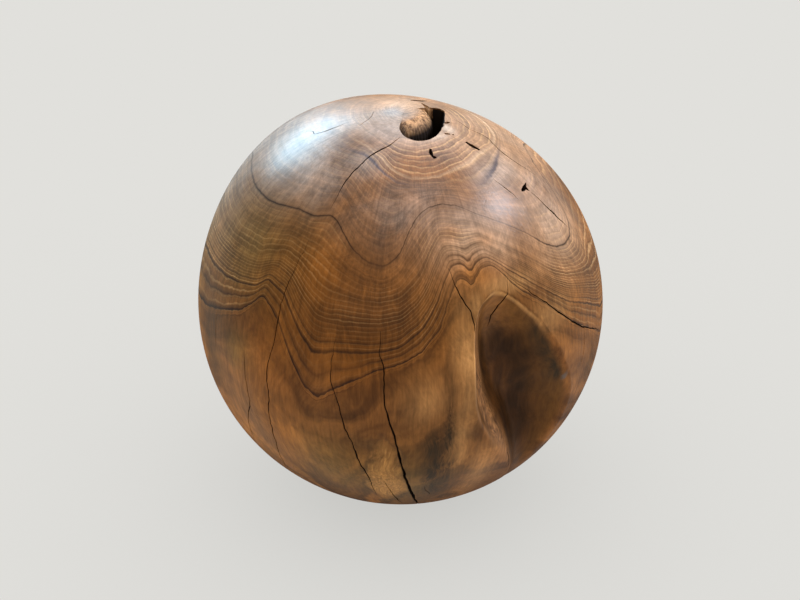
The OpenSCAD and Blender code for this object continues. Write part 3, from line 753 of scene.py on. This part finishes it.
# Teak root, sanded and oiled: close brown rings cut across at the crown, long fibres below, and a satin sheen
# from the oil
def oiledTeakRoot(material):
    material.use_nodes = True
    material.node_tree.nodes.clear()
    add = partial(addNode, material.node_tree)
    colours = {"out": 2, "data_type": "RGBA"}

    # noise drawn out along the fibres, with their width and length in metres
    def fibres(wide, long, detail, roughness):
        drawn = add("Mapping", {0: sway, 3: (1 / wide, 1 / wide, 1 / long)})
        return add("TexNoise", {"Vector": drawn, "Scale": 1.0, "Detail": detail, "Roughness": roughness})

    # a colour lightened and darkened by a noise
    def shaded(colour, noise, low, high):
        tone = add("MapRange", [noise, 0.3, 0.7, low, high])
        return add("VectorMath SCALE", {0: colour, "Scale": tone})

    # one colour where a value is low, another where it is high
    def between(value, low, high, first, second):
        much = add("MapRange", [value, low, high])
        return add("Mix", {0: much, 6: hexColour(first), 7: hexColour(second)}, **colours)

    # a colour laid over another where a mark is, by an amount
    def laid(under, mark, amount, code, clamp=False):
        much = add("Math MULTIPLY", [mark, amount], use_clamp=clamp)
        return add("Mix", {0: much, 6: under, 7: hexColour(code)}, **colours)

    place = add("TexCoord", out="Object")
    height = add("SeparateXYZ", [place]).node.outputs[2]
    marks = {name: add("Attribute", out="Fac", attribute_name=name) for name in grain}
    ring = marks["ring"]
    # fibres sway as they run up the trunk: 2 mm wide and 60 mm long, shorter flecks, and broad bands 14 mm wide
    sway = add("TexNoise", {"Vector": place, "Scale": 1 / 0.09, "Detail": 2.0}, out=1)
    sway = add("VectorMath SUBTRACT", [sway, (0.5, 0.5, 0.5)])
    sway = add("VectorMath SCALE", {0: sway, "Scale": 0.06})
    sway = add("VectorMath ADD", [place, sway])
    thin = fibres(0.002, 0.06, 3.0, 0.6)
    fleck = fibres(0.005, 0.02, 4.0, 0.65)
    broad = fibres(0.014, 0.16, 4.0, 0.6)
    # clouds 60 mm across, a wobble of the rings over 22 mm, patches 45 mm across and mottle 6 mm across
    cloud, wobble, patchy, mottle = (
        add("TexNoise", {"Vector": place, "Scale": 1 / size, "Detail": detail, "Roughness": roughness})
        for size, detail, roughness in (
            (0.06, 4.0, 0.6), (0.022, 3.0, 0.6), (0.045, 2.0, 0.5), (0.006, 4.0, 0.65)))
    cloudy = add("Math SUBTRACT", [cloud, 0.5])
    # rays fan out from the pith under the knot hole
    fromPith = add("VectorMath SUBTRACT", [place, (0.013, -0.037, 0)])
    x, y, z = add("SeparateXYZ", [fromPith]).node.outputs
    bearing = add("Math ARCTAN2", [y, x])
    spread = add("VectorMath MULTIPLY", [fromPith, (1, 1, 0)])
    spread = add("VectorMath LENGTH", [spread], out=1)
    rays = add("CombineXYZ", [add("Math MULTIPLY", [way, scale])
                              for way, scale in ((bearing, 60.0), (spread, 22.0), (z, 22.0))])
    rays = add("TexNoise", {"Vector": rays, "Scale": 1.0, "Detail": 4.0, "Roughness": 0.6})
    # rings: the count of rings with a little wobble, a dark line at the end of each year and a pale one after it
    wobble = add("Math SUBTRACT", [wobble, 0.5])
    count = add("Math MULTIPLY_ADD", [wobble, 1.3, ring])
    which = add("Math FLOOR", [count])
    year = add("Math FRACT", [count])
    patchy = add("MapRange", [patchy, 0.34, 0.62, 0.3, 1.0])
    strong = add("TexWhiteNoise", {"W": which}, noise_dimensions="1D")
    strong = add("MapRange", {0: strong, 3: 0.3, 4: 1.0})
    strong = add("Math MULTIPLY", [strong, patchy])
    dark = add("ValToRGB", [year], stops=[
        (0.0, 0.3), (0.05, 0.0), (0.5, 0.05), (0.78, 0.35), (0.92, 1.0), (1.0, 0.4)])
    pale = add("ValToRGB", [year], stops=[(0.02, 0.0), (0.09, 1.0), (0.2, 1.0), (0.36, 0.0)])
    # finer lines between the years
    half = add("Math MULTIPLY", [count, 2.63])
    half = add("Math FRACT", [half])
    half = add("ValToRGB", [half], stops=[(0.0, 0.0), (0.5, 0.1), (0.8, 1.0), (1.0, 0.0)])
    # most of the wood is plain and shows its rings only faintly; the hollow and the foot show none
    fade = add("MapRange", [ring, 48.5, 48.9, 1.0, 0.0])
    dry = add("MapRange", [marks["hollow"], 0.0, 0.1, 1.0, 0.0])
    fade = add("Math MULTIPLY", [fade, dry])
    lined = add("MapRange", {0: marks["lined"], 3: 0.12, 4: 1.0})
    fade = add("Math MULTIPLY", [fade, lined])
    strong = add("Math MULTIPLY", [strong, fade])
    dark, pale, half = (add("Math MULTIPLY", [line, much])
                        for line, much in ((dark, strong), (pale, strong), (half, fade)))
    # bands of years that grew darker
    band = add("Math MULTIPLY", [count, 0.45])
    band = add("TexNoise", {"W": band, "Scale": 1.0, "Detail": 1.0}, noise_dimensions="1D")
    # some lines stand out: dark ones all round that darken slowly and end sharply, dark zigzags in the fold, a
    # cold grey one and a light one
    boldStops, foldStops = [(0.0, 0.0)], [(0.0, 0.0)]
    for at, (level, before, after) in boldLines.items():
        boldStops += [(at - before, 0.0), (at - before * 0.4, level * 0.5), (at - 0.12, level), (at + 0.06, level),
                      (at + after, 0.0)]
    for at in fold["lines"]:
        foldStops += [(at - 1.5, 0.0), (at - 0.2, 1.0), (at + 0.2, 1.0), (at + 0.6, 0.0)]
    coldStops = [(8.5, 0.0), (8.8, 1.0), (9.1, 1.0), (9.4, 0.0)]
    lightStops = [(6.6, 0.0), (6.85, 0.8), (7.1, 0.8), (7.2, 0.0)]
    shared = add("Math MULTIPLY_ADD", [wobble, 0.8, ring])
    shared = add("Math DIVIDE", [shared, lastRing])
    bold, swollen, cold, light = (
        add("ValToRGB", [shared], stops=[(at / lastRing, level) for at, level in stops])
        for stops in (boldStops, foldStops, coldStops, lightStops))
    boldShare = add("MapRange", [patchy, 0.3, 0.8, 0.6, 1.0])
    bold = add("Math MULTIPLY", [bold, boldShare])
    bold, swollen, cold, light = (
        add("Math MULTIPLY", [line, where])
        for line, where in ((bold, dry), (swollen, marks["folded"]), (cold, marks["greyLine"]),
                            (light, marks["lined"])))
    # colours of the wood: long flames, and bands that follow the rings and cloud into each other
    flame = fibres(0.03, 0.14, 3.0, 0.55)
    drift = add("TexNoise", {"Vector": place, "Scale": 1 / 0.07, "Detail": 3.0})
    drift = add("Math MULTIPLY_ADD", [drift, 3.0, ring])
    drift = add("TexNoise", {"W": drift, "Scale": 1.3, "Detail": 2.0}, noise_dimensions="1D")
    lowWood = add("MapRange", [ring, 46.0, 50.0, 0.2, 0.75])
    flame = add("Mix", {0: lowWood, 2: flame, 3: drift})
    wood = between(flame, 0.36, 0.64, "#4d2e12", "#794d23")
    much = add("MapRange", [cloud, 0.3, 0.65, 0.65, 1.15])
    # the grey, tan, cream and deep patches also carry painted sheen, highlight and shade, as listed with them
    for name, code in (("olive", "#675027"), ("tan", "#a4794a"), ("cream", "#9c7f66"), ("orange", "#955c20"),
                       ("deep", "#4a2c10"), ("grey", "#8a8078")):
        wood = laid(wood, much, marks[name], code, clamp=True)
    wood = shaded(wood, band, 0.84, 1.14)
    for mark, amount, code in (
            (pale, 0.68, "#c09a6a"), (half, 0.22, "#3a2312"), (dark, 0.85, "#332011"), (bold, 0.94, "#1e110a"),
            (swollen, 0.85, "#352012"), (cold, 0.9, "#3e3a40"), (light, 0.7, "#cdb08c"),
            (marks["lobe"], 0.6, "#767b7d"), (marks["bleach"], 0.45, "#c4b8a8")):
        wood = laid(wood, mark, amount, code)
    # a pale patch of bare fibre with a ragged dark border
    ragged = add("Math MULTIPLY_ADD", [cloudy, 1.1, marks["pale"]])
    ragged = add("Math MULTIPLY_ADD", [wobble, 0.7, ragged])
    border = add("ValToRGB", [ragged], stops=[(0.0, 0.0), (0.3, 0.0), (0.45, 0.45), (0.58, 0.0)])
    wood = add("Mix", {0: border, 6: wood, 7: hexColour("#3a2a18")}, **colours)
    bare = between(thin, 0.35, 0.65, "#80592d", "#a0743f")
    ragged = add("MapRange", {0: ragged, 1: 0.42, 2: 0.8, 4: 0.8})
    wood = add("Mix", {0: ragged, 6: wood, 7: bare}, **colours)
    # fibres and rays lighten and darken it a little
    for noise, low, high in ((thin, 0.92, 1.08), (rays, 0.82, 1.18), (cloud, 0.82, 1.18)):
        wood = shaded(wood, noise, low, high)
    # dark stains run with the fibres
    stain = add("Math ADD", [broad, thin])
    stain = add("MapRange", [stain, 0.75, 1.15, 0.55, 1.3])
    wood = laid(wood, stain, marks["stain"], "#2c2011", clamp=True)
    # the hollow: weathered olive brown, with painted shade darker below, and black patches of stain and painted
    # shade
    lower = add("Math MULTIPLY_ADD", [cloudy, 0.06, height])
    inside = between(lower, 0.048, 0.022, "#6a4520", "#482b0e")
    inside = shaded(inside, broad, 0.45, 1.6)
    outer = add("MapRange", {0: marks["across"], 1: 0.6, 2: 0.92, 4: 0.7})
    inside = add("Mix", {0: outer, 6: inside, 7: hexColour("#5e3e18")}, **colours)
    stainedAndShaded = add("MapRange", [broad, 0.3, 0.62, 0.55, 1.2])
    inside = laid(inside, stainedAndShaded, marks["hollowStain"], "#201204", clamp=True)
    # long grain on the steep side, a black crease of painted shade under the lip and a green-black streak along the
    # soft edge
    strip = add("ValToRGB", [marks["across"]], stops=[
        (0.0, 0.0), (0.05, 0.0), (0.08, 0.7), (0.15, 0.7), (0.25, 0.0)])
    steep = between(thin, 0.35, 0.65, "#3f2612", "#8c6038")
    inside = add("Mix", {0: strip, 6: inside, 7: steep}, **colours)
    into = add("MapRange", [marks["hollow"], 0.03, 0.16])
    wood = add("Mix", {0: into, 6: wood, 7: inside}, **colours)
    for stops, mark, code in (
            # painted shade in the crease under the lip
            ([(0.0, 0.0), (0.025, 0.0), (0.04, 0.9), (0.06, 0.9), (0.075, 0.0)], "hollow", "#1c1009"),
            ([(0.0, 0.0), (0.82, 0.0), (0.9, 0.85), (0.93, 0.85), (0.98, 0.0)], "streak", "#1b1a12")):
        line = add("ValToRGB", [marks["across"]], stops=stops)
        where = add("Math MULTIPLY", [marks[mark], 1.6], use_clamp=True)
        line = add("Math MULTIPLY", [line, where])
        wood = laid(wood, line, add("MapRange", [broad, 0.35, 0.6, 0.25, 1.0]), code)
    # a light rim at the top of the hollow, and a grey chip beside it
    rim = add("ValToRGB", [marks["hollow"]], stops=[
        (0.0, 0.0), (0.006, 0.0), (0.03, 1.0), (0.05, 1.0), (0.11, 0.0)])
    wood = laid(wood, rim, add("MapRange", {0: height, 1: 0.04, 2: 0.08, 4: 0.7}), "#b2844f")
    chip = add("Math MULTIPLY_ADD", [wobble, 1.6, marks["chip"]])
    chip = add("MapRange", {0: chip, 1: 0.45, 2: 0.75, 4: 0.6})
    wood = add("Mix", {0: chip, 6: wood, 7: hexColour("#4d5456")}, **colours)
    wood = shaded(wood, fleck, 0.76, 1.24)
    # painted shade, near black, inside the splits; the knot's worn side, with painted shade darkening it down the
    # pit
    splitShade = add("MapRange", [marks["sunk"], 0.05, 0.7])
    wood = add("Mix", {0: splitShade, 6: wood, 7: hexColour("#1d110a")}, **colours)
    groove = add("Math ADD", [rays, mottle])
    knot = between(groove, 0.85, 1.15, "#4a3120", "#c2976d")
    gloom = add("MapRange", [marks["pit"], 2.0, 13.0])
    # a painted shadow darkens the lower left of the pit
    gloom = add("Math MAXIMUM", [gloom, marks["burn"]])
    # painted shade: darker deeper in the pit, and the pit's wall near black
    for mark, code in ((gloom, "#140c07"), (marks["wall"], "#0e0906")):
        knot = add("Mix", {0: mark, 6: knot, 7: hexColour(code)}, **colours)
    inPit = add("MapRange", [marks["pit"], 0.2, 2.0])
    wood = add("Mix", {0: inPit, 6: wood, 7: knot}, **colours)
    # satin oil: duller in the hollow, in the cuts and towards the outline
    rough = add("MapRange", [cloud, 0.3, 0.7, 0.27, 0.34])
    aside = add("LayerWeight", [0.5], out="Facing")
    aside = add("MapRange", [aside, 0.55, 0.95])
    for mark, amount in ((marks["hollow"], 0.2), (splitShade, 0.4), (inPit, 0.3), (aside, 0.5), (marks["lobe"], 0.25)):
        rough = add("Math MULTIPLY_ADD", [mark, amount, rough], use_clamp=True)
    relief = add("Math SUBTRACT", [thin, dark])
    bump = add("Bump", {"Strength": 0.3, "Distance": 0.0004, "Height": relief})
    add("OutputMaterial", [add("BsdfPrincipled", {
        "Base Color": wood, "Roughness": rough, "Normal": bump, "IOR": 1.5, "Specular IOR Level": 0.09})])


oiledTeakRoot(woodMaterial)
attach(ball, "root")
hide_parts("ball")

# Plain pale floor that keeps the ball's soft shadow
floorLook = {"colour": "#e1e0dc", "size": 14.0, "shadow": 0.27, "shadowReach": 1.0}
floorMesh = bpy.data.meshes.new("floor")
half = floorLook["size"] / 2
corners = [(x, y, -ballForm["radius"]) for x, y in ((-half, -half), (half, -half), (half, half), (-half, half))]
floorMesh.from_pydata(corners, [], [(0, 1, 2, 3)])
floor = newObject("floor", floorMesh)


# Floor and backdrop show their plain colour to the camera and in reflections
def seenDirectly(add):
    path = add("LightPath").node.outputs
    seen = add("Math MAXIMUM", [path["Is Camera Ray"], path["Is Glossy Ray"]])
    return add("Math MAXIMUM", [seen, path["Is Transmission Ray"]])


# Matt pale paint: even in colour, with no gloss
def paleFloor():
    material = bpy.data.materials.new("paleFloor")
    material.use_nodes = True
    material.node_tree.nodes.clear()
    add = partial(addNode, material.node_tree)
    matt = add("BsdfDiffuse", [hexColour(floorLook["colour"])])
    # the ball keeps light from the floor around it
    clear = add("AmbientOcclusion", {"Distance": floorLook["shadowReach"]}, out="AO")
    shade = add("MapRange", {0: clear, 3: 1 - floorLook["shadow"], 4: 1.0})
    plain = add("Emission", [hexColour(floorLook["colour"]), shade])
    add("OutputMaterial", [add("MixShader", [seenDirectly(add), matt, plain])])
    return material


floorMesh.materials.append(paleFloor())

roomLight = {"level": 0.42, "tint": "#ffe6c2"}
world = bpy.data.worlds.new("studio")
scene.world = world
world.use_nodes = True
world.node_tree.nodes.clear()
addSky = partial(addNode, world.node_tree)
ambient = addSky("Background", [hexColour(roomLight["tint"]), roomLight["level"]])
backdrop = addSky("Background", [hexColour(floorLook["colour"]), 1.0])
addSky("OutputWorld", [addSky("MixShader", [seenDirectly(addSky), ambient, backdrop])])

# Soft lamps: a cool window behind at the left, a small one at the right, broad ones above and behind, and a
# fill in front
lamps = {
    "window": {"towards": (-0.46, 0.64, 0.62), "distance": 1.8, "size": (0.95, 0.6), "watts": 56, "tint": "#b2e0fa"},
    "side": {"towards": (0.69, 0.05, 0.72), "distance": 1.8, "size": (0.36, 0.36), "watts": 46, "tint": "#eaf2ff"},
    "above": {"towards": (0.1, 0.26, 0.95), "distance": 2.0, "size": (1.3, 1.3), "watts": 46, "tint": "#eaf0ff"},
    "back": {"towards": (-0.1, 0.88, 0.46), "distance": 2.0, "size": (1.6, 0.5), "watts": 16, "tint": "#fff3e6"},
    "fill": {"towards": (-0.2, -0.8, 0.55), "distance": 2.6, "size": (2.2, 2.2), "watts": 20, "tint": "#ffe8cc"},
}
for name, spec in lamps.items():
    lamp = bpy.data.lights.new(name, "AREA")
    lamp.shape = "RECTANGLE"
    lamp.size, lamp.size_y = spec["size"]
    lamp.energy = spec["watts"]
    lamp.color = hexColour(spec["tint"])[:3]
    at = Vector(spec["towards"]).normalized() * spec["distance"]
    stand = newObject(name, lamp)
    stand.location = at
    stand.rotation_euler = at.to_track_quat("Z", "Y").to_euler()

# Camera from the front, above the ball's middle; centre is that of the ball in the picture, in pixels
cameraSpec = {"elevation": 25.0, "distance": 1.125, "lens": 44.62, "sensor": 36, "centre": (400.8, 302.3)}
imageSize = (800, 600)
camera = newObject("camera", bpy.data.cameras.new("camera"))
raised = math.radians(cameraSpec["elevation"])
camera.location = (0, -cameraSpec["distance"] * math.cos(raised), cameraSpec["distance"] * math.sin(raised))
camera.rotation_euler = (math.pi / 2 - raised, 0, 0)
camera.data.lens = cameraSpec["lens"]
camera.data.sensor_width = cameraSpec["sensor"]
camera.data.shift_x = -(cameraSpec["centre"][0] - imageSize[0] / 2) / imageSize[0]
camera.data.shift_y = (cameraSpec["centre"][1] - imageSize[1] / 2) / imageSize[0]
scene.camera = camera
print("stage, lamps and camera set")
